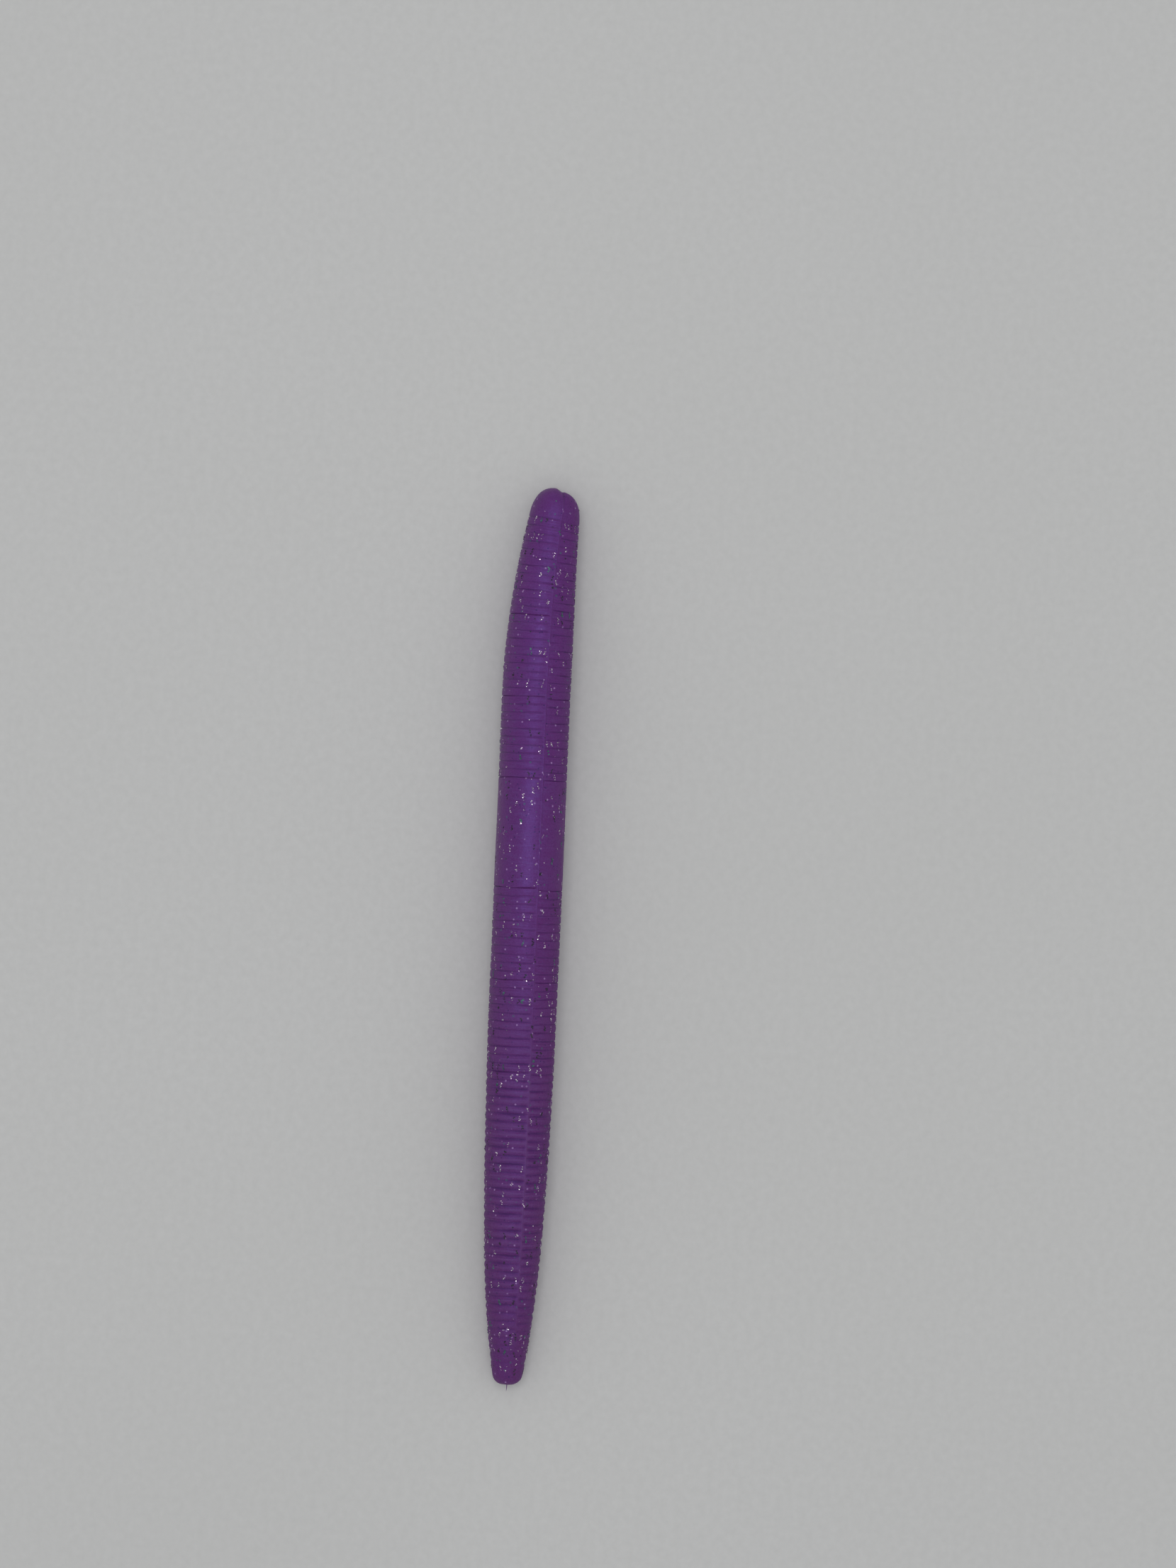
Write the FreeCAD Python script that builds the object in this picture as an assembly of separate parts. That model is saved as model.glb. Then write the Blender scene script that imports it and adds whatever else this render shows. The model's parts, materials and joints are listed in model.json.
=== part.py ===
import FreeCAD, Part
import math
import os
import random

# A soft plastic stick worm, lying on its belly. Millimetres.
# X runs along the body with the nose at +X, Y points to the worm's left, and Z is up.
# A place along the body is given by its station s, the distance from the nose tip.
# The real worm is one flexible moulding with glitter cast into it. Here the moulding is a chain
# of sections that nest in each other, ball in cup, and each section carries its own glitter.

Vector = FreeCAD.Vector

# Body
LENGTH = 127.0               # nose tip to tail tip, along the centreline
BODY_R = 4.85                # the smooth band and the full part of the body
FRONT_FULL = 25.0            # the body is full behind this station
FRONT_TAPER = 21.0           # length of the front taper
FRONT_DROP = 1.25            # radius lost along the front taper
REAR_FULL = 70.0             # the body is full ahead of this station
REAR_DROP = 1.5              # radius lost along the whole rear taper
TAIL_DROP = 1.45             # radius lost towards the tail's end besides
NOSE_CAP = 4.0               # length of the rounded nose
TAIL_CAP = 1.5               # length of the rounded tail end
NECK_START = 30.0            # ahead of this station the body curves to its right
NECK_BEND_R = 226.0
BELLY_FLAT = 0.25            # how far the belly is pressed flat by its own weight
TAIL_TIP_HEIGHT = 2.2        # the centreline's height at the tail tip

# Ribs and the smooth band between them
RIB_DEPTH = 0.17
BAND_FRONT = 41.2
BAND_REAR = 56.7
BAND_CHAMFER = 0.25
FRONT_RIBS = 32
FRONT_RIB_PITCH = 1.147
REAR_RIBS = 57
REAR_RIB_PITCH = 1.181

# Joints. Each is at the centre of a ball on the inner section, in a cup of the outer one.
FRONT_JOINT_RIBS = (25, 15, 5)               # ribs from the band to each front joint
REAR_JOINT_RIBS = (5.5, 16.5, 27.5, 38.5, 49.5)
BALL_RATIO = 1.07            # ball radius over the body's radius there
CUP_GAP = 0.28               # gap between ball and cup
COLLAR = 0.5                 # plain rim beside a joint before the ribs start

# Glitter: thin hexagonal film, lying in the skin
FLAKE_CORNER_R = 0.16
FLAKE_THICK = 0.05
FLAKE_SINK = 0.01            # depth of a flake's middle under the rib crest
FLAKE_SPACING = 0.55         # least distance between the middles of two flakes
FLAKE_CLEAR = 0.5            # least distance of a flake's middle from a section's rim
FLAKE_LOWEST = 0.8           # flakes stay this far above the ground
BAND_EDGE_BARE = 0.75        # no flakes this near the ends of the smooth band
FLAKE_TILT = 6.0             # degrees
GLITTER = {"silver": 3.0, "green": 0.6, "black": 1.4}    # flakes per millimetre of body
GLITTER_SEED = 11

SECTIONS = ("nose", "front_outer", "front_inner", "middle",
            "rear_1", "rear_2", "rear_3", "rear_4", "tail")
MIDDLE = SECTIONS.index("middle")

JOINTS = [BAND_FRONT - ribs * FRONT_RIB_PITCH for ribs in FRONT_JOINT_RIBS]
JOINTS += [BAND_REAR + ribs * REAR_RIB_PITCH for ribs in REAR_JOINT_RIBS]
VALLEYS = sorted([BAND_FRONT - i * FRONT_RIB_PITCH for i in range(FRONT_RIBS + 1)]
                 + [BAND_REAR + i * REAR_RIB_PITCH for i in range(REAR_RIBS + 1)])


def body_radius(s):
    """Radius over the rib crests at station s, leaving out the rounded ends."""
    front = max(0.0, (FRONT_FULL - s) / FRONT_TAPER)
    rear = max(0.0, (s - REAR_FULL) / (LENGTH - REAR_FULL))
    return BODY_R - FRONT_DROP * front ** 1.5 - REAR_DROP * rear ** 2 - TAIL_DROP * rear ** 6


def centre(s):
    """The centreline's point at station s: straight behind the neck, a gentle arc ahead of it."""
    turn = max(0.0, NECK_START - s) / NECK_BEND_R
    x = -max(s, NECK_START) + NECK_BEND_R * math.sin(turn)
    y = -NECK_BEND_R * (1 - math.cos(turn))
    height = body_radius(max(s, NOSE_CAP)) - BELLY_FLAT
    if s >= LENGTH:
        height = TAIL_TIP_HEIGHT
    return Vector(x, y, height)


def in_band(s):
    return BAND_FRONT < s < BAND_REAR


def at_band_edge(s):
    return in_band(s) and min(s - BAND_FRONT, BAND_REAR - s) < BAND_EDGE_BARE


class Section:
    """One length of the body, turned about the straight line between its two ends.

    front and rear are stations. Outward means away from the middle section: a section ends
    outward in a ball, and inward in a cup round its neighbour's ball.
    """

    def __init__(self, index):
        stations = [0.0] + JOINTS + [LENGTH]
        self.name = SECTIONS[index]
        self.front, self.rear = stations[index], stations[index + 1]
        self.start, self.end = centre(self.front), centre(self.rear)
        self.along = (self.end - self.start).normalize()
        self.length = self.start.distanceToPoint(self.end)
        self.front_end = "cap" if index == 0 else ("ball" if index <= MIDDLE else "cup")
        last = len(SECTIONS) - 1
        self.rear_end = "cap" if index == last else ("cup" if index < MIDDLE else "ball")

    def end_sizes(self, station, kind):
        """Radius of the body at a joint, radius of its ball or cup, and the rim's distance."""
        rim_r = body_radius(station)
        sphere_r = BALL_RATIO * rim_r + (CUP_GAP if kind == "cup" else 0.0)
        return rim_r, sphere_r, math.sqrt(sphere_r ** 2 - rim_r ** 2)

    def rims(self):
        """Where the ribbed skin starts and ends, as distances behind the front joint."""
        u0, u1 = NOSE_CAP, self.length - TAIL_CAP
        if self.front_end != "cap":
            rim = self.end_sizes(self.front, self.front_end)[2]
            u0 = -rim if self.front_end == "ball" else rim
        if self.rear_end != "cap":
            rim = self.end_sizes(self.rear, self.rear_end)[2]
            u1 = self.length + (rim if self.rear_end == "ball" else -rim)
        return u0, u1

    def cap_edges(self, at_front):
        """The rounded nose or tail, from its apex on the axis out to the skin."""
        outward = -1.0 if at_front else 1.0
        depth = NOSE_CAP if at_front else TAIL_CAP
        hub = depth if at_front else self.length - depth
        radius = body_radius(NOSE_CAP if at_front else LENGTH - TAIL_CAP)
        apex = profile_point(hub + outward * depth, 0.0)
        middle = profile_point(hub + outward * depth * math.sqrt(0.5), radius * math.sqrt(0.5))
        rim = profile_point(hub, radius)
        cap = Part.BSplineCurve()
        cap.interpolate(Points=[apex, middle, rim], InitialTangent=Vector(0, 1, 0),
                        FinalTangent=Vector(outward, 0, 0))
        return [cap.toShape()], apex, rim

    def end_edges(self, at_front):
        """The edges from the axis out to the rim at one end."""
        kind = self.front_end if at_front else self.rear_end
        if kind == "cap":
            return self.cap_edges(at_front)
        hub = 0.0 if at_front else self.length
        rim_r, sphere_r, rim_at = self.end_sizes(self.front if at_front else self.rear, kind)
        side = -1.0 if at_front == (kind == "ball") else 1.0
        half = 0.5 * math.asin(rim_r / sphere_r)
        apex = profile_point(hub + side * sphere_r, 0.0)
        middle = profile_point(hub + side * sphere_r * math.cos(half), sphere_r * math.sin(half))
        rim = profile_point(hub + side * rim_at, rim_r)
        return [Part.Arc(apex, middle, rim).toShape()], apex, rim

    def skin_edges(self, first, last):
        """Plain collar, round ribs, band and collar again, from the front rim to the rear rim."""
        u0, u1 = self.rims()
        low, high = self.front + u0 + COLLAR, self.front + u1 - COLLAR
        valleys = [s for s in VALLEYS if low <= s <= high]
        edges, here = [], first
        for index, s in enumerate(valleys):
            floor = profile_point(s - self.front, body_radius(s) - RIB_DEPTH)
            if index == 0:
                edges.append(Part.LineSegment(here, floor).toShape())
            elif in_band(0.5 * (s + valleys[index - 1])):
                edges += band_edges(here, floor)
            else:
                crest = 0.5 * (s + valleys[index - 1])
                top = profile_point(crest - self.front, body_radius(crest))
                edges.append(Part.Arc(here, top, floor).toShape())
            here = floor
        edges.append(Part.LineSegment(here, last).toShape())
        return edges

    def solid(self):
        front, apex_front, rim_front = self.end_edges(True)
        rear, apex_rear, rim_rear = self.end_edges(False)
        skin = self.skin_edges(rim_front, rim_rear)
        axis = Part.LineSegment(apex_rear, apex_front).toShape()
        face = Part.Face(Part.Wire(Part.__sortEdges__(front + skin + rear + [axis])))
        turned = face.revolve(Vector(0, 0, 0), Vector(1, 0, 0), 360)
        turned.Placement = FreeCAD.Placement(
            self.start, FreeCAD.Rotation(Vector(1, 0, 0), self.along * -1))
        return turned.cut(ground_block()).Solids[0]

    def flakes(self, colours):
        """Thin flakes spread over the skin, one list of solids for each colour."""
        dice = random.Random(GLITTER_SEED + SECTIONS.index(self.name))
        u0, u1 = self.rims()
        low, high = u0 + FLAKE_CLEAR, u1 - FLAKE_CLEAR
        up = (Vector(0, 0, 1) - self.along * self.along.z).normalize()
        side = self.along.cross(up)
        spots, groups = [], {}
        for colour, per_mm in colours.items():
            solids = []
            wanted = round(per_mm * (u1 - u0))
            while len(solids) < wanted:
                u = rib_crest(self.front + dice.uniform(low, high)) - self.front
                turn = dice.uniform(-math.pi, math.pi)
                normal = up * math.cos(turn) + side * math.sin(turn)
                radius = body_radius(self.front + u) - FLAKE_SINK
                spot = self.start + self.along * u + normal * radius
                crowded = any(spot.distanceToPoint(other) < FLAKE_SPACING for other in spots)
                misplaced = spot.z < FLAKE_LOWEST or not low <= u <= high
                if crowded or misplaced or at_band_edge(self.front + u):
                    continue
                spots.append(spot)
                tilt = self.along * math.sin(math.radians(dice.uniform(-FLAKE_TILT, FLAKE_TILT)))
                solids.append(flake(spot, normal + tilt, dice.uniform(0, 60)))
            groups[colour] = solids
        return groups


def profile_point(u, radius):
    """A point of a section's outline: u behind the front joint, radius from its axis."""
    return Vector(-u, radius, 0)


def band_edges(here, floor):
    """The smooth band: up out of the front groove, along, and down into the rear one."""
    front = profile_point(-here.x + BAND_CHAMFER, BODY_R)
    rear = profile_point(-floor.x - BAND_CHAMFER, BODY_R)
    return [Part.LineSegment(a, b).toShape() for a, b in ((here, front), (front, rear), (rear, floor))]


def ground_block():
    """Everything under the surface that the worm lies on."""
    return Part.makeBox(3 * LENGTH, LENGTH, BODY_R, Vector(-2 * LENGTH, -LENGTH / 2, -BODY_R))


def rib_crest(s):
    """The station itself on smooth skin, else the middle of its rib."""
    behind = [v for v in VALLEYS if v > s]
    ahead = [v for v in VALLEYS if v <= s]
    if in_band(s) or not behind or not ahead:
        return s
    return 0.5 * (behind[0] + ahead[-1])


def flake(spot, normal, spin):
    """One hexagonal flake, its middle at spot and its flat side facing along normal."""
    corners = [Vector(FLAKE_CORNER_R * math.cos(math.radians(60 * i)),
                      FLAKE_CORNER_R * math.sin(math.radians(60 * i)), -FLAKE_THICK / 2)
               for i in range(7)]
    solid = Part.Face(Part.makePolygon(corners)).extrude(Vector(0, 0, FLAKE_THICK))
    turn = FreeCAD.Rotation(Vector(0, 0, 1), normal)
    solid.Placement = FreeCAD.Placement(spot, turn * FreeCAD.Rotation(Vector(0, 0, 1), spin))
    return solid


def make_nodes():
    """Every node by name: each section's moulding, and its glitter by colour."""
    nodes = {}
    for index in range(len(SECTIONS)):
        section = Section(index)
        nodes[section.name + "_moulding"] = section.solid()
        for colour, solids in section.flakes(GLITTER).items():
            nodes[section.name + "_" + colour + "_glitter"] = Part.makeCompound(solids)
    return nodes


def main():
    os.makedirs("parts", exist_ok=True)
    nodes = make_nodes()
    mouldings = [shape for name, shape in nodes.items() if name.endswith("_moulding")]
    whole = Part.makeCompound(mouldings).optimalBoundingBox(False)
    origin = Vector(whole.Center.x, whole.Center.y, 0)
    for name, shape in nodes.items():
        shape.translate(origin * -1)
        shape.exportStep("parts/" + name + ".step")
    print("size", round(whole.XLength, 3), round(whole.YLength, 3), round(whole.ZLength, 3))
    print("moulding volume cm3", round(sum(shape.Volume for shape in mouldings) / 1000, 2))
    band = centre(0.5 * (BAND_FRONT + BAND_REAR)) - origin
    print("band centre", [round(c, 4) for c in band])
    for outer, station in zip(SECTIONS, JOINTS):
        print("joint behind", outer, [round(c, 4) for c in centre(station) - origin])


main()
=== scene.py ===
import json
import math
import random

import bpy
import numpy as np
from mathutils import Matrix, Vector

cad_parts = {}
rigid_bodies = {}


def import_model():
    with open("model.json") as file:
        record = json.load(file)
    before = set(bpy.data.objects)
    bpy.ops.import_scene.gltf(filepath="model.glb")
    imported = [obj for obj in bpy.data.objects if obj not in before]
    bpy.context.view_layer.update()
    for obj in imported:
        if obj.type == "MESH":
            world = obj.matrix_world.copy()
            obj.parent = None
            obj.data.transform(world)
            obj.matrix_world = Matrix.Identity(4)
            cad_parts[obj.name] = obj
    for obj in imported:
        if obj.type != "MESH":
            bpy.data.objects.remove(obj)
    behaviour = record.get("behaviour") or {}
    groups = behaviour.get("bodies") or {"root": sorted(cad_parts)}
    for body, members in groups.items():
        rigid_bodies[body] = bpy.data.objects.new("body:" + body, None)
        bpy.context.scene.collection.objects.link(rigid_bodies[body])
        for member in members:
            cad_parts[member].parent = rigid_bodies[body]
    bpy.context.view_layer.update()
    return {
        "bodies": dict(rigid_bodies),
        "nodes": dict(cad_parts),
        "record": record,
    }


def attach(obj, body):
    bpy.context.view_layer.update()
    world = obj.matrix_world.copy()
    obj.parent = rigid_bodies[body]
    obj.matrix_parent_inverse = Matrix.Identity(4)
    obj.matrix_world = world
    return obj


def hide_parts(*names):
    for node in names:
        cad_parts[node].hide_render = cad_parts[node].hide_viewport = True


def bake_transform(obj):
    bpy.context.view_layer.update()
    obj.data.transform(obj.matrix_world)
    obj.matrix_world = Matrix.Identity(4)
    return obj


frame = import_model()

# A soft plastic stick worm. Sizes are in millimetres unless a name ends in _M, and a place along
# the body is its station: the distance from the nose tip. The turn round the body is in degrees
# from the top, positive towards the worm's right.

MM = 0.001
RECORD = frame["record"]
BAND_POS = next(m for m in RECORD["mounts"] if m["name"] == "ring_band")["pos_m"]

# The body's outline, as in the CAD model
LENGTH = 127.0
BODY_R = 4.85
FRONT_FULL, FRONT_TAPER, FRONT_DROP = 25.0, 21.0, 1.25
REAR_FULL, REAR_DROP, TAIL_DROP = 70.0, 1.5, 1.45
NOSE_CAP, TAIL_CAP = 4.0, 1.5
NECK_START, NECK_BEND_R = 30.0, 226.0
BELLY_FLAT, TAIL_TIP_HEIGHT = 0.25, 2.2
BAND_FRONT, BAND_REAR = 41.2, 56.7
FRONT_RIBS, FRONT_RIB_PITCH = 32, 1.147
REAR_RIBS, REAR_RIB_PITCH = 57, 1.181
RIB_DEPTH = 0.17
RIBS_FROM = BAND_FRONT - FRONT_RIBS * FRONT_RIB_PITCH
RIBS_TO = BAND_REAR + REAR_RIBS * REAR_RIB_PITCH

# The shape of the skin, finer than the CAD model's
TAIL_RISE_FROM = 115.0       # the tail's centreline moves to its tip's height from here on
GROOVE_POWER = 5.5           # how narrow the grooves in front are
GROOVE_WIDER = 3.6           # that power gets this much less towards the tail,
GROOVE_WIDER_FROM, GROOVE_WIDER_OVER = 66.0, 24.0    # from this station and over this stretch
GROOVE_WAVER = 0.30          # share by which the grooves' depth wanders
TOP_SHALLOW = 0.35           # on top the grooves lose this share of their depth,
TOP_SHALLOW_TO, TOP_SHALLOW_OVER = 92.0, 30.0        # less and less up to this station
THIN_RADIUS = 2.0            # the grooves get shallower where the body is thinner than this
EDGE_GROOVE_W = 0.35         # half the width of the groove where ribs meet smooth skin

# How the mould shows
SEAM_TURN = 18.0             # the parting line, turned from the top towards the right
MOULD_SHIFT = 0.33           # the right half of the mould sits this much nearer the tail
SEAM_FLASH = 0.045           # height of the fine flash along the parting line
SEAM_FLASH_W = 0.06          # half its width
SEAM_STEP = 0.022            # the right half stands this much lower beside the line
SEAM_STEP_W = 0.4            # how far beside the line the step reaches
SEAM_LAND = 0.25             # the grooves fade out this near the line
SEAM_LAND_SHARE = 0.85       # and lose this share of their depth
SEAM_EDGE_W = 0.12           # the left half turns into the right half over this width
SHIFT_FADE = 3.0             # the mould's shift fades out over this last stretch of the tail
NOSE_NOTCH = 0.30            # depth of the notch where the two halves part at the nose tip
NOSE_NOTCH_W = 0.42          # half its width
NOSE_LOBES = 0.10            # how far the halves stand ahead of the CAD nose
NOSE_TIP = 3.2               # the notch and the halves' ends fade out over this length
NOSE_SHARE = 2.6             # how blunt the nose is: 2 is an ellipse
TAIL_SHARE = 2.7             # how blunt the tail is
TAIL_MORE = 0.55             # how far the tail stands behind the CAD tail
TAIL_MORE_OVER = 4.0         # the length that is stretched for it
TAIL_CALM = 14.0             # the grooves get shallower over this last stretch
TAIL_CALM_SHARE = 0.55       # and lose this share of their depth
SWELL, WAVER = 0.022, 0.008  # long and short unevenness of the skin
RIB_WAVER = 0.035            # how far the ribs wander along the body
RIB_LINE = 0.42              # depth of the faint lines on a rib, over the groove's depth
RIB_LINE_W = 0.09            # half their width, and
RIB_LINE_AT = 0.36           # their place on the rib: 0 at the crest, 1 in the groove
BELLY_SOFT = 0.1             # how softly the belly turns into its flat
RIB_STEPS = 16               # rings of vertices to each rib

# The skins: (section, first station, last station, joint, body ahead of it, body behind it)
FRONT_SKIN_RIBS, REAR_SKIN_RIBS = 10, 11


def front_seam(count):
    return BAND_FRONT - count * FRONT_SKIN_RIBS * FRONT_RIB_PITCH


def rear_seam(count):
    return BAND_REAR + count * REAR_SKIN_RIBS * REAR_RIB_PITCH


SKINS = [
    ("nose", 0.0, front_seam(2), "nose_bend", "nose", "front_outer"),
    ("front_outer", front_seam(2), front_seam(1), "front_outer_bend", "front_outer", "front_inner"),
    ("front_inner", front_seam(1), BAND_FRONT, "front_inner_bend", "front_inner", "middle"),
    ("middle", BAND_FRONT, BAND_REAR, None, "middle", "middle"),
    ("rear_1", BAND_REAR, rear_seam(1), "rear_1_bend", "middle", "rear_1"),
    ("rear_2", rear_seam(1), rear_seam(2), "rear_2_bend", "rear_1", "rear_2"),
    ("rear_3", rear_seam(2), rear_seam(3), "rear_3_bend", "rear_2", "rear_3"),
    ("rear_4", rear_seam(3), rear_seam(4), "rear_4_bend", "rear_3", "rear_4"),
    ("tail", rear_seam(4), LENGTH, "tail_bend", "rear_4", "tail"),
]


# ---------------------------------------------------------------- shape of the body

def smooth(t):
    t = np.clip(t, 0.0, 1.0)
    return t * t * (3 - 2 * t)


def crest_radius(s):
    """Radius over the rib crests, leaving out the rounded ends."""
    front = np.clip((FRONT_FULL - s) / FRONT_TAPER, 0, None)
    rear = np.clip((s - REAR_FULL) / (LENGTH - REAR_FULL), 0, None)
    return BODY_R - FRONT_DROP * front ** 1.5 - REAR_DROP * rear ** 2 - TAIL_DROP * rear ** 6


def end_rounding(s):
    """Share of the radius that is left in the rounded nose and tail."""
    nose = np.clip((NOSE_CAP - s) / NOSE_CAP, 0, 1)
    tail = np.clip((s - (LENGTH - TAIL_CAP)) / TAIL_CAP, 0, 1)
    return (1 - nose ** NOSE_SHARE) ** (1 / NOSE_SHARE) * (1 - tail ** TAIL_SHARE) ** (1 / TAIL_SHARE)


def centreline(s):
    """x, y and z of the centreline, and the heading of the nose's side, at station s."""
    turn = np.clip(NECK_START - s, 0, None) / NECK_BEND_R
    band_station = 0.5 * (BAND_FRONT + BAND_REAR)
    x = BAND_POS[0] / MM + band_station - np.maximum(s, NECK_START)
    x = x + NECK_BEND_R * np.sin(turn)
    y = BAND_POS[1] / MM - NECK_BEND_R * (1 - np.cos(turn))
    z = crest_radius(np.maximum(s, NOSE_CAP)) - BELLY_FLAT
    tip = np.clip((s - TAIL_RISE_FROM) / (LENGTH - TAIL_RISE_FROM), 0, 1)
    z = z + (TAIL_TIP_HEIGHT - crest_radius(LENGTH) + BELLY_FLAT) * tip ** 2
    return x, y, z, turn


def ripple(s, turn, seed, along, around):
    """Smooth noise between -1 and 1 on the skin, the same all the way round."""
    dice = random.Random(seed)
    total = 0
    for _ in range(6):
        waves = dice.randint(1, around)
        total = total + np.sin(s * dice.uniform(0.3, 1.0) * along + dice.uniform(0, 6.3)
                               + waves * np.radians(turn) * dice.choice((-1, 1)))
    return total / 3.2


def rib_phase(s):
    """How far from the crest of its rib a station is: 0 at the crest, 1 in the groove."""
    front = ((BAND_FRONT - s) / FRONT_RIB_PITCH) % 1.0
    rear = ((s - BAND_REAR) / REAR_RIB_PITCH) % 1.0
    phase = np.abs(np.where(s < 0.5 * (BAND_FRONT + BAND_REAR), front, rear) - 0.5) * 2
    smooth_skin = (s < RIBS_FROM) | ((s > BAND_FRONT) & (s < BAND_REAR)) | (s > RIBS_TO)
    near = np.minimum.reduce([np.abs(s - edge) for edge in (RIBS_FROM, BAND_FRONT, BAND_REAR, RIBS_TO)])
    return np.where(smooth_skin, 1 - np.clip(near / EDGE_GROOVE_W, 0, 1), phase)


def from_seam(turn, radius):
    """Distance from the parting plane, positive on the right half."""
    return radius * np.sin(np.radians(turn - SEAM_TURN))


def skin_point(s, turn, lift=0.0):
    """The skin's points in the row frame, in metres, for arrays of stations and turns."""
    x, y, z, heading = centreline(s)
    full = crest_radius(s) * end_rounding(s)
    apart = from_seam(turn, full)
    land = np.exp(-(apart / SEAM_LAND) ** 2)
    right = smooth(apart / SEAM_EDGE_W + 0.5)
    phase = rib_phase(s)
    power = GROOVE_POWER - GROOVE_WIDER * smooth((s - GROOVE_WIDER_FROM) / GROOVE_WIDER_OVER)
    groove = phase ** power * (1 + GROOVE_WAVER * ripple(s, turn, seed=3, along=2.6, around=7))
    line = np.exp(-((phase - RIB_LINE_AT) / RIB_LINE_W) ** 2)
    line = line * (0.5 + 0.5 * ripple(s, turn, seed=4, along=1.3, around=5))
    groove = (groove + RIB_LINE * np.clip(line, 0, 1)) * (1 - SEAM_LAND_SHARE * land)
    on_top = np.clip(np.cos(np.radians(turn)), 0, 1) ** 2
    groove = groove * (1 - TOP_SHALLOW * (on_top * smooth((TOP_SHALLOW_TO - s) / TOP_SHALLOW_OVER)))
    groove = groove * (1 - TAIL_CALM_SHARE * smooth((s - LENGTH + TAIL_CALM) / TAIL_CALM))
    radius = full - RIB_DEPTH * groove * np.clip(full / THIN_RADIUS, 0, 1)
    top = np.cos(np.radians(turn)) > 0
    body = smooth(full / 1.2)
    radius = radius + body * SEAM_FLASH * np.exp(-(apart / SEAM_FLASH_W) ** 2) * top
    radius = radius - body * SEAM_STEP * right * np.exp(-(apart / SEAM_STEP_W) ** 2)
    swell = SWELL * ripple(s, turn, seed=5, along=0.35, around=3)
    radius = radius + body * (swell + WAVER * ripple(s, turn, seed=6, along=3.1, around=16))
    back = MOULD_SHIFT * right * smooth((LENGTH - s) / SHIFT_FADE)
    back = back + RIB_WAVER * ripple(s, turn, seed=8, along=0.9, around=6) * body
    back = back + TAIL_MORE * smooth((s - LENGTH + TAIL_MORE_OVER) / TAIL_MORE_OVER)
    tip = smooth((NOSE_TIP - s) / NOSE_TIP)
    back = back + (NOSE_NOTCH * np.exp(-(apart / NOSE_NOTCH_W) ** 2) - NOSE_LOBES) * tip
    across, up = np.sin(np.radians(turn)), np.cos(np.radians(turn))
    radius = radius + lift
    px = x - np.cos(heading) * back - np.sin(heading) * across * radius
    py = y + np.sin(heading) * back - np.cos(heading) * across * radius
    pz = z + up * radius
    pz = np.where(pz < BELLY_SOFT, BELLY_SOFT * np.exp((pz - BELLY_SOFT) / BELLY_SOFT), pz)
    return np.stack([px, py, pz], -1) * MM, groove


def ring_stations(first, last):
    """Stations of the rings of vertices between two stations, closer where the shape needs it."""
    stations = [NOSE_CAP * (1 - math.cos(math.radians(a)) ** 1.3) for a in range(0, 90, 4)]
    stations += [NOSE_CAP, 0.5 * (NOSE_CAP + RIBS_FROM)]
    stations += [RIBS_FROM + i * FRONT_RIB_PITCH / RIB_STEPS for i in range(FRONT_RIBS * RIB_STEPS + 1)]
    band = BAND_REAR - BAND_FRONT
    stations += [BAND_FRONT + d for d in (0.08, 0.17, 0.26, 0.36)]
    stations += [BAND_FRONT + 0.5 + (band - 1.0) * i / 60 for i in range(61)]
    stations += [BAND_REAR - d for d in (0.36, 0.26, 0.17, 0.08)]
    stations += [BAND_REAR + i * REAR_RIB_PITCH / RIB_STEPS for i in range(REAR_RIBS * RIB_STEPS + 1)]
    stations += [RIBS_TO + (LENGTH - TAIL_CAP - RIBS_TO) * i / 10 for i in range(1, 11)]
    stations += [LENGTH - TAIL_CAP * (1 - math.sin(math.radians(a))) for a in range(6, 91, 6)]
    inside = sorted({round(s, 6) for s in stations if first - 1e-4 <= s <= last + 1e-4})
    return np.array(inside)


def ring_turns():
    """Turns of the vertices round a ring, closer at the parting line on top."""
    turns = [3.0 * i for i in range(120)]
    turns += [SEAM_TURN + d for d in (-2.0, -1.3, -0.8, -0.4, 0.4, 0.8, 1.3, 2.0)]
    return np.array(sorted(turns))


# ---------------------------------------------------------------- mesh helpers

def new_piece(name, points, faces, material, along=None, groove=None):
    mesh = bpy.data.meshes.new(name)
    mesh.from_pydata([tuple(p) for p in points], [], faces)
    mesh.polygons.foreach_set("use_smooth", [True] * len(mesh.polygons))
    if along is not None:
        mesh.attributes.new("along", "FLOAT_VECTOR", "POINT").data.foreach_set(
            "vector", np.asarray(along, np.float32).ravel())
    if groove is not None:
        mesh.attributes.new("groove", "FLOAT", "POINT").data.foreach_set(
            "value", np.asarray(groove, np.float32).ravel())
    mesh.materials.append(material)
    piece = bpy.data.objects.new(name, mesh)
    bpy.context.scene.collection.objects.link(piece)
    return piece


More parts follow.
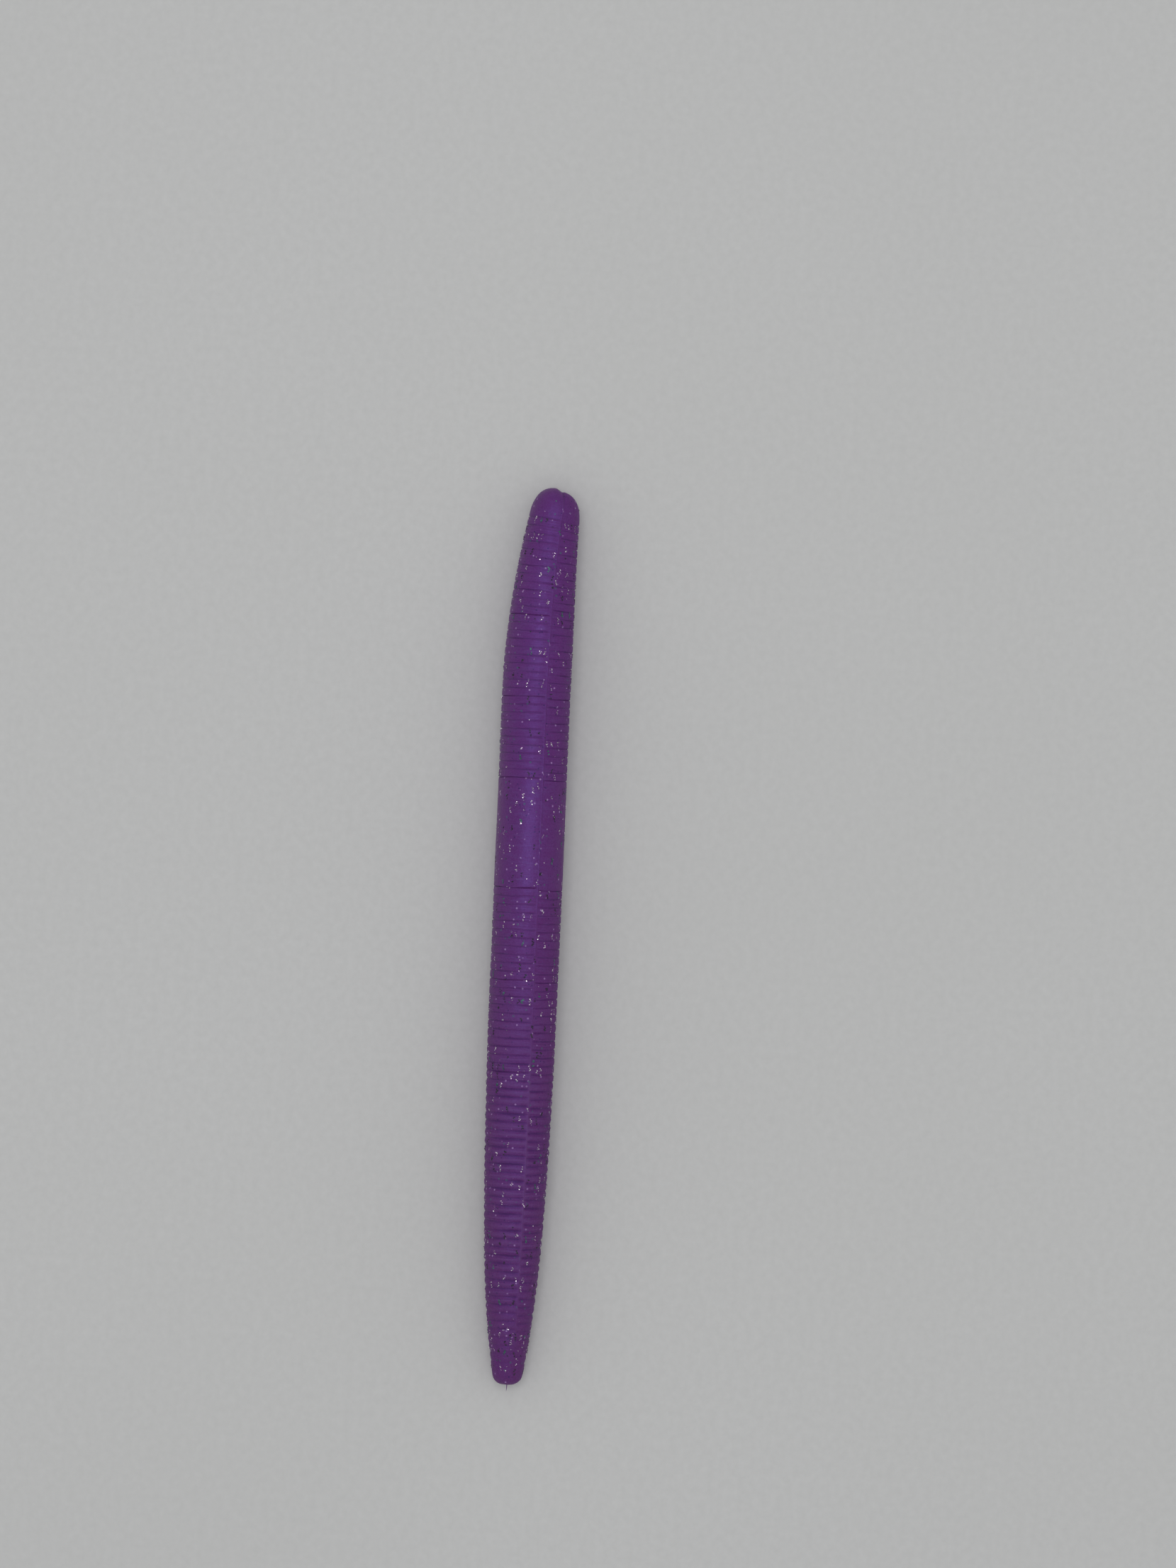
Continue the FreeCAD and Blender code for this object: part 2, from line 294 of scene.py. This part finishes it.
def make_skin(name, first, last, material):
    """One closed length of the body's skin."""
    stations, turns = ring_stations(first, last), ring_turns()
    s, turn = np.meshgrid(stations, turns, indexing="ij")
    points, groove = skin_point(s, turn)
    rings, count = s.shape
    radius = crest_radius(s) * end_rounding(s)
    along = np.stack([s, radius * np.cos(np.radians(turn)), radius * np.sin(np.radians(turn))], -1)
    points, along, groove = points.reshape(-1, 3), along.reshape(-1, 3), groove.reshape(-1)
    faces = []
    for ring in range(rings - 1):
        a, b = ring * count, (ring + 1) * count
        for i in range(count):
            j = (i + 1) % count
            faces.append((a + i, a + j, b + j, b + i))
    faces.append(tuple(range(count - 1, -1, -1)))
    faces.append(tuple(range((rings - 1) * count, rings * count)))
    piece = new_piece(name, points, faces, material, along, groove)
    mesh = piece.data
    for cap in (mesh.polygons[-1], mesh.polygons[-2]):
        cap.use_smooth = False
    ends = set(range(count)) | set(range((rings - 1) * count, rings * count))
    for edge in mesh.edges:
        if edge.vertices[0] in ends and edge.vertices[1] in ends:
            edge.use_edge_sharp = True
    return piece


# ---------------------------------------------------------------- glitter

FLAKE_THICK = 0.03
FLAKE_PROUD = 0.016          # a flake's middle stands this far out of the skin
FLAKE_TILT = 18.0            # degrees
FLAKE_RADII = {"silver": (0.055, 0.11), "green": (0.08, 0.15), "black": (0.07, 0.14)}
FLAKE_SCATTER = 0.4          # how far a flake may lie along the body from its place in the CAD model
EXTRA_FLAKES_PER_MM = {"silver": 0.8, "green": 0.2, "black": 0.6}
EXTRA_FLAKES_TURN = 140      # the extra flakes lie up to this far round from the top
FLAKE_SEED = 40


def cad_flake_places(node):
    """Station and turn of each flake of a CAD glitter node."""
    mesh = frame["nodes"][node].data
    parent = list(range(len(mesh.vertices)))

    def root(i):
        while parent[i] != i:
            parent[i] = parent[parent[i]]
            i = parent[i]
        return i

    for edge in mesh.edges:
        parent[root(edge.vertices[0])] = root(edge.vertices[1])
    groups = {}
    for i, vertex in enumerate(mesh.vertices):
        groups.setdefault(root(i), []).append(vertex.co)
    merged = {}
    for points in groups.values():
        middle = sum(points, Vector()) / len(points)
        key = tuple(round(c / (0.2 * MM)) for c in middle)
        merged.setdefault(key, []).extend(points)
    return [station_and_turn(sum(points, Vector()) / len(points)) for points in merged.values()]


def station_and_turn(point):
    """The station and turn of a point near the skin."""
    stations = np.linspace(0, LENGTH, 2541)
    x, y, z, _ = centreline(stations)
    gap = (x - point.x / MM) ** 2 + (y - point.y / MM) ** 2
    nearest = int(np.argmin(gap))
    s = stations[nearest]
    x, y, z, heading = (v[nearest] for v in centreline(stations))
    dx, dy = point.x / MM - x, point.y / MM - y
    right = -math.sin(heading) * dx - math.cos(heading) * dy
    return float(s), math.degrees(math.atan2(right, point.z / MM - z))


def flake_mesh(places, dice, size, tilt, lift):
    """Hexagonal flakes on the skin: points, faces, and where each is along the body."""
    points, faces, along = [], [], []
    for s, turn in places:
        s_array, turn_array = np.array([s, s + 0.3, s]), np.array([turn, turn, turn + 4.0])
        spots, _ = skin_point(s_array, turn_array, lift)
        spot, behind, aside = (Vector(p) for p in spots)
        normal = (aside - spot).cross(behind - spot).normalized()
        outward = Vector((0, 0, 1)) * math.cos(math.radians(turn))
        if normal.dot(outward + Vector((0, -1, 0)) * math.sin(math.radians(turn))) < 0:
            normal = -normal
        lean = Vector((dice.gauss(0, 1), dice.gauss(0, 1), dice.gauss(0, 1))) * math.tan(math.radians(tilt))
        normal = (normal + lean * 0.6).normalized()
        first = normal.orthogonal().normalized()
        second = normal.cross(first)
        radius = dice.uniform(*size) * MM
        stretch = dice.uniform(0.7, 1.0)
        spin = dice.uniform(0, math.tau)
        base = len(points)
        for side in (-0.5, 0.5):
            for i in range(6):
                a = spin + i * math.tau / 6
                offset = first * math.cos(a) + second * math.sin(a) * stretch
                points.append(spot + offset * radius + normal * side * FLAKE_THICK * MM)
                along.append((s, turn, 0.0))
        faces.append(tuple(base + i for i in (5, 4, 3, 2, 1, 0)))
        faces.append(tuple(base + 6 + i for i in range(6)))
        for i in range(6):
            j = (i + 1) % 6
            faces.append((base + i, base + j, base + 6 + j, base + 6 + i))
    return points, faces, along


# ---------------------------------------------------------------- materials

class Nodes:
    """Shorthand for building a node tree."""

    def __init__(self, name):
        self.material = bpy.data.materials.new(name)
        self.material.use_nodes = True
        self.tree = self.material.node_tree
        self.tree.nodes.clear()
        self.output = self.tree.nodes.new("ShaderNodeOutputMaterial")
        self.shader = self.tree.nodes.new("ShaderNodeBsdfPrincipled")
        self.link(self.shader.outputs[0], self.output.inputs[0])

    def link(self, source, target):
        self.tree.links.new(source, target)

    def add(self, kind, inputs=None, **settings):
        node = self.tree.nodes.new(kind)
        for key, value in settings.items():
            setattr(node, key, value)
        for key, value in (inputs or {}).items():
            if isinstance(value, bpy.types.NodeSocket):
                self.link(value, node.inputs[key])
            else:
                node.inputs[key].default_value = value
        return node

    def attribute(self, name):
        return self.add("ShaderNodeAttribute", attribute_name=name)

    def noise(self, vector, scale, detail=3.0, roughness=0.55, stretch=(1, 1, 1)):
        place = self.add("ShaderNodeMapping", {"Vector": vector, "Scale": stretch})
        return self.add("ShaderNodeTexNoise", {"Vector": place.outputs[0], "Scale": scale,
                                               "Detail": detail, "Roughness": roughness}).outputs[0]

    def remap(self, value, low, high, to_low=0.0, to_high=1.0):
        return self.add("ShaderNodeMapRange", {"Value": value, "From Min": low, "From Max": high,
                                               "To Min": to_low, "To Max": to_high}).outputs[0]

    def mix(self, factor, a, b):
        node = self.add("ShaderNodeMix", data_type="RGBA")
        for key, value in ((0, factor), (6, a), (7, b)):
            if isinstance(value, bpy.types.NodeSocket):
                self.link(value, node.inputs[key])
            else:
                node.inputs[key].default_value = value
        return node.outputs[2]

    def math(self, operation, a, b=0.0):
        node = self.add("ShaderNodeMath", operation=operation)
        for key, value in ((0, a), (1, b)):
            if isinstance(value, bpy.types.NodeSocket):
                self.link(value, node.inputs[key])
            else:
                node.inputs[key].default_value = value
        return node.outputs[0]

    def bump(self, height, strength, distance_mm, normal=None):
        inputs = {"Height": height, "Strength": strength, "Distance": distance_mm * MM}
        if normal is not None:
            inputs["Normal"] = normal
        return self.add("ShaderNodeBump", inputs).outputs[0]


def rgb(red, green, blue):
    return (red, green, blue, 1.0)


# Colours of the plastic, with painted shade for its grooves and painted highlights for its rib crests and
# pearl sheen
VIOLET_FRONT, VIOLET_REAR = rgb(0.118, 0.016, 0.128), rgb(0.107, 0.017, 0.086)
VIOLET_CLOUD = rgb(0.098, 0.014, 0.106)
# Grain colour, and the pearl colour that is a painted sheen, used on the top only
PEARL_GRAIN, PEARL_STREAK_SHEEN = rgb(0.150, 0.042, 0.200), rgb(0.125, 0.050, 0.180)
# A darker mottle, painted shade for the grooves and a painted highlight for the rib crests
DARK_MOTTLE, GROOVE_SHADE, RIB_CREST_HIGHLIGHT = rgb(0.060, 0.008, 0.075), rgb(0.048, 0.008, 0.072), rgb(0.145, 0.060, 0.175)

# Glitter deep in the plastic: (cells per mm, reach, share left out, blur, colour, seed)
DEEP_GLITTER = (
    (1.15, 0.20, 0.62, 0.10, rgb(0.42, 0.26, 0.50), 3.0),
    (1.35, 0.18, 0.62, 0.07, rgb(0.022, 0.008, 0.045), 17.0),
    (1.0, 0.20, 0.76, 0.08, rgb(0.06, 0.10, 0.11), 31.0),
)
DEEP_GLITTER_SHOWS = 0.75


def pearl_sheen_and_grain(n, along, station, top):
    """Violet, redder towards the tail, with clouds, grain, a darker mottle and a painted pearl sheen on
    top.
    """
    colour = n.mix(n.remap(station, 20.0, 120.0), VIOLET_FRONT, VIOLET_REAR)
    clouds = n.noise(along, 0.45, 4.0, 0.6, (0.45, 1, 1))
    colour = n.mix(n.remap(clouds, 0.35, 0.7, 0.0, 0.55), colour, VIOLET_CLOUD)
    grain = n.noise(along, 5.0, 3.0, 0.65)
    colour = n.mix(n.remap(grain, 0.40, 0.68, 0.0, 0.45), colour, PEARL_GRAIN)
    # A darker mottle at random over the skin
    dark_mottle = n.noise(along, 3.3, 3.0, 0.7, (1.6, 1, 1))
    colour = n.mix(n.remap(dark_mottle, 0.52, 0.75, 0.0, 0.50), colour, DARK_MOTTLE)
    # Painted sheen: lighter pearl colour in stripes on the top of the body only, where the highlight falls
    sheen_streaks = n.noise(along, 1.0, 3.0, 0.6, (4.0, 0.55, 0.55))
    sheen_streaks = n.math("MULTIPLY", n.remap(sheen_streaks, 0.48, 0.72, 0.0, 0.55), top)
    return n.mix(sheen_streaks, colour, PEARL_STREAK_SHEEN)


def deep_glitter(n, along, colour):
    """Soft specks of the glitter that lies under the skin."""
    for scale, reach, left_out, blur, shade, seed in DEEP_GLITTER:
        place = n.add("ShaderNodeMapping", {"Vector": along, "Location": (seed, seed, seed)})
        cells = n.add("ShaderNodeTexVoronoi", {"Vector": place.outputs[0], "Scale": scale})
        dot = n.remap(cells.outputs["Distance"], reach, reach - blur)
        pick = n.add("ShaderNodeSeparateColor", {"Color": cells.outputs["Color"]}).outputs[0]
        chosen = n.math("GREATER_THAN", pick, left_out)
        share = n.math("MULTIPLY", n.math("MULTIPLY", dot, chosen), DEEP_GLITTER_SHOWS)
        colour = n.mix(share, colour, shade)
    return colour


def plastic_roughness(n, along, station, aside):
    """Smoothest on the band and duller on the right half of the mould and behind the band."""
    in_band = n.math("MULTIPLY", n.math("GREATER_THAN", station, BAND_FRONT + 0.2),
                     n.math("LESS_THAN", station, BAND_REAR - 0.2))
    rough = n.remap(n.noise(along, 2.2, 3.0), 0.3, 0.7, 0.40, 0.54)
    rough = n.math("SUBTRACT", rough, n.math("MULTIPLY", in_band, 0.05))
    right = n.math("MULTIPLY", n.remap(aside, -0.35, 0.55), n.remap(station, 70.0, 112.0, 0.34, 0.08))
    dull = n.math("ADD", right, n.remap(station, 56.0, 80.0, 0.0, 0.26))
    return n.math("ADD", rough, n.math("MULTIPLY", dull, 0.5))


def worm_plastic():
    """Deep violet soft plastic with a pearl cast, fine grain and glitter seen below its skin, with painted
    groove shade and painted highlights on top.
    """
    n = Nodes("worm_plastic")
    along = n.attribute("along").outputs["Vector"]
    groove = n.attribute("groove").outputs["Fac"]
    station, height, right = n.add("ShaderNodeSeparateXYZ", {"Vector": along}).outputs
    # How near the top of the body a point is; the painted sheen and the painted rib highlights are kept to
    # it
    top = n.remap(height, 2.2, 4.4)
    colour = deep_glitter(n, along, pearl_sheen_and_grain(n, along, station, top))
    # Painted highlight: the rib crests painted lighter on the top of the body, towards the tail
    crest = n.math("MULTIPLY", n.remap(groove, 0.05, 0.35, 0.45, 0.0), n.remap(station, 66.0, 90.0))
    colour = n.mix(n.math("MULTIPLY", crest, top), colour, RIB_CREST_HIGHLIGHT)
    # Painted shade: the grooves painted darker, more so towards the top of the body
    groove_shade_mask = n.math("MULTIPLY", n.remap(groove, 0.30, 0.95, 0.0, 0.55), n.remap(height, 0.5, 4.2, 0.30, 1.0))
    n.link(n.mix(groove_shade_mask, colour, GROOVE_SHADE), n.shader.inputs["Base Color"])
    aside = n.math("SUBTRACT", n.math("MULTIPLY", right, math.cos(math.radians(SEAM_TURN))),
                   n.math("MULTIPLY", height, math.sin(math.radians(SEAM_TURN))))
    n.link(plastic_roughness(n, along, station, aside), n.shader.inputs["Roughness"])
    fine = n.bump(n.noise(along, 7.0, 3.0, 0.6), 0.55, 0.05)
    broad = n.bump(n.noise(along, 1.6, 2.0, 0.5, (0.6, 1, 1)), 0.35, 0.12, fine)
    n.link(broad, n.shader.inputs["Normal"])
    n.shader.inputs["IOR"].default_value = 1.56
    n.shader.inputs["Specular IOR Level"].default_value = 0.92
    n.shader.inputs["Specular Tint"].default_value = rgb(0.33, 0.27, 1.0)
    n.shader.inputs["Subsurface Weight"].default_value = 0.35
    n.shader.inputs["Subsurface Radius"].default_value = (1.0, 0.45, 1.1)
    n.shader.inputs["Subsurface Scale"].default_value = 0.5 * MM
    return n.material


def film(name, colour, shade, metallic, roughness):
    """Glitter film: bright metallised or plain, a little different from flake to flake."""
    n = Nodes(name)
    along = n.attribute("along").outputs["Vector"]
    flake = n.add("ShaderNodeTexWhiteNoise", {"Vector": along}, noise_dimensions="3D").outputs["Value"]
    fine = n.noise(n.add("ShaderNodeTexCoord").outputs["Object"], 9000.0, 2.0)
    tone = n.math("ADD", n.math("POWER", flake, 1.6), n.math("MULTIPLY", fine, 0.12))
    n.link(n.mix(tone, shade, colour), n.shader.inputs["Base Color"])
    n.link(n.remap(flake, 0.0, 1.0, roughness, roughness + 0.18), n.shader.inputs["Roughness"])
    n.shader.inputs["Metallic"].default_value = metallic
    return n.material


def paper():
    """The pale sheet under the worm."""
    n = Nodes("paper")
    place = n.add("ShaderNodeTexCoord").outputs["Object"]
    fibres = n.noise(place, 900.0, 5.0, 0.6)
    clouds = n.noise(place, 9.0, 2.0)
    colour = n.mix(n.remap(fibres, 0.3, 0.7), rgb(0.60, 0.60, 0.59), rgb(0.64, 0.64, 0.63))
    colour = n.mix(n.remap(clouds, 0.3, 0.7, 0.0, 0.25), colour, rgb(0.57, 0.57, 0.55))
    n.link(colour, n.shader.inputs["Base Color"])
    n.shader.inputs["Roughness"].default_value = 0.9
    n.link(n.bump(fibres, 0.15, 0.08), n.shader.inputs["Normal"])
    return n.material


# ---------------------------------------------------------------- building

def bend(piece, skin):
    """The piece rides on the middle section; any other piece has its place baked into its mesh and stays
    where it is.
    """
    _, first, last, joint, ahead, behind = skin
    if joint is None:
        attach(piece, ahead)
        return
    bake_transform(piece)


def glitter_films():
    return {
        "silver": film("silver_glitter", rgb(1.0, 0.93, 1.0), rgb(0.20, 0.09, 0.24), 0.95, 0.13),
        "green": film("green_glitter", rgb(0.10, 0.24, 0.22), rgb(0.035, 0.060, 0.075), 0.6, 0.34),
        "black": film("black_glitter", rgb(0.035, 0.020, 0.05), rgb(0.010, 0.006, 0.016), 0.2, 0.40),
    }


def make_skins(plastic):
    for skin in SKINS:
        name, first, last = skin[:3]
        piece = make_skin(name + "_skin", first, last, plastic)
        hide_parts(name + "_moulding")
        bend(piece, skin)


def flake_places(colour, dice):
    """Station and turn of each flake: the CAD model's, moved a little, and more at random."""
    places = []
    for section in frame["bodies"]:
        places += cad_flake_places(section + "_" + colour + "_glitter")
    places = [(s + dice.uniform(-FLAKE_SCATTER, FLAKE_SCATTER), turn) for s, turn in places]
    for _ in range(int(EXTRA_FLAKES_PER_MM[colour] * LENGTH)):
        station = dice.uniform(1.0, LENGTH - 1.5)
        places.append((station, dice.uniform(-EXTRA_FLAKES_TURN, EXTRA_FLAKES_TURN)))
    return places


def make_glitter(films):
    for number, (colour, material) in enumerate(films.items()):
        dice = random.Random(FLAKE_SEED + number)
        places = flake_places(colour, dice)
        for skin in SKINS:
            name, first, last = skin[:3]
            here = [p for p in places if first <= p[0] < last]
            points, faces, along = flake_mesh(here, dice, FLAKE_RADII[colour], FLAKE_TILT, FLAKE_PROUD)
            piece = new_piece(name + "_" + colour + "_flakes", points, faces, material, along)
            for face in piece.data.polygons:
                face.use_smooth = False
            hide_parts(name + "_" + colour + "_glitter")
            bend(piece, skin)


def make_whisker(material):
    """A hair of plastic that stands out of the tail, left by the mould's vent."""
    reach = np.array([-0.5, 0.0, 0.35, 0.7, 1.0])
    thick = np.array([0.08, 0.07, 0.055, 0.04, 0.012])
    x, y, z, _ = (float(v) for v in centreline(np.array(LENGTH)))
    points, faces, along = [], [], []
    for out, radius in zip(reach, thick):
        for i in range(8):
            a = i * math.tau / 8
            points.append(((x - TAIL_MORE - out) * MM,
                           (y + 0.06 * out ** 2 + radius * math.cos(a)) * MM,
                           (z - 0.10 * out ** 2 + radius * math.sin(a)) * MM))
            along.append((LENGTH + out, radius * math.sin(a), -radius * math.cos(a)))
    for ring in range(len(reach) - 1):
        for i in range(8):
            j = (i + 1) % 8
            faces.append((ring * 8 + i, ring * 8 + j, ring * 8 + 8 + j, ring * 8 + 8 + i))
    faces.append(tuple(range(7, -1, -1)))
    faces.append(tuple(range(len(points) - 8, len(points))))
    piece = new_piece("tail_whisker", points, faces, material, along)
    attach(piece, "tail")


def make_worm():
    plastic = worm_plastic()
    films = glitter_films()
    make_skins(plastic)
    make_whisker(plastic)
    make_glitter(films)


CAMERA_HEIGHT_M = 0.60       # above the middle of the smooth band
FRAME_LONG_M = 0.22225       # what the picture's long side covers at that distance
CAMERA_AT_M = (0.02183, -0.00770)
CAMERA_ROLL = 2.47           # degrees: the body leans this much to the right in the picture


def make_camera():
    data = bpy.data.cameras.new("camera")
    data.angle = 2 * math.atan(0.5 * FRAME_LONG_M / CAMERA_HEIGHT_M)
    camera = bpy.data.objects.new("camera", data)
    bpy.context.scene.collection.objects.link(camera)
    lean = math.radians(CAMERA_ROLL)
    right = Vector((math.sin(lean), -math.cos(lean), 0))
    up = Vector((math.cos(lean), math.sin(lean), 0))
    turn = Matrix((right, up, right.cross(up))).transposed().to_4x4()
    height = BAND_POS[2] + CAMERA_HEIGHT_M
    camera.matrix_world = Matrix.Translation((CAMERA_AT_M[0], CAMERA_AT_M[1], height)) @ turn
    bpy.context.scene.camera = camera


SKY_COLOUR, SKY_STRENGTH = rgb(0.97, 0.98, 1.0), 0.57
SOFTBOX_AT_M, SOFTBOX_AIM_M = (0.13, 0.05, 0.80), (0.13, 0.0, 0.0)
SOFTBOX_SIZE_M, SOFTBOX_W = (0.44, 0.36), 1.34
FLOOR_HALF_M = 1.5


def make_softbox():
    data = bpy.data.lights.new("softbox", "AREA")
    data.shape = "RECTANGLE"
    data.size, data.size_y = SOFTBOX_SIZE_M
    data.energy = SOFTBOX_W
    light = bpy.data.objects.new("softbox", data)
    light.location = SOFTBOX_AT_M
    towards = Vector(SOFTBOX_AIM_M) - Vector(SOFTBOX_AT_M)
    light.rotation_euler = towards.to_track_quat("-Z", "Y").to_euler()
    bpy.context.scene.collection.objects.link(light)


def make_stage():
    mesh = bpy.data.meshes.new("floor")
    half = FLOOR_HALF_M
    corners = [(-half, -half, 0), (half, -half, 0), (half, half, 0), (-half, half, 0)]
    mesh.from_pydata(corners, [], [(0, 1, 2, 3)])
    mesh.materials.append(paper())
    floor = bpy.data.objects.new("floor", mesh)
    bpy.context.scene.collection.objects.link(floor)
    world = bpy.data.worlds.new("world")
    world.use_nodes = True
    sky = world.node_tree.nodes["Background"]
    sky.inputs[0].default_value = SKY_COLOUR
    sky.inputs[1].default_value = SKY_STRENGTH
    bpy.context.scene.world = world
    make_softbox()


# The plain view transform keeps the photograph's contrast between the paper and the shadow
bpy.context.scene.view_settings.view_transform = "Standard"
make_camera()
make_stage()
make_worm()
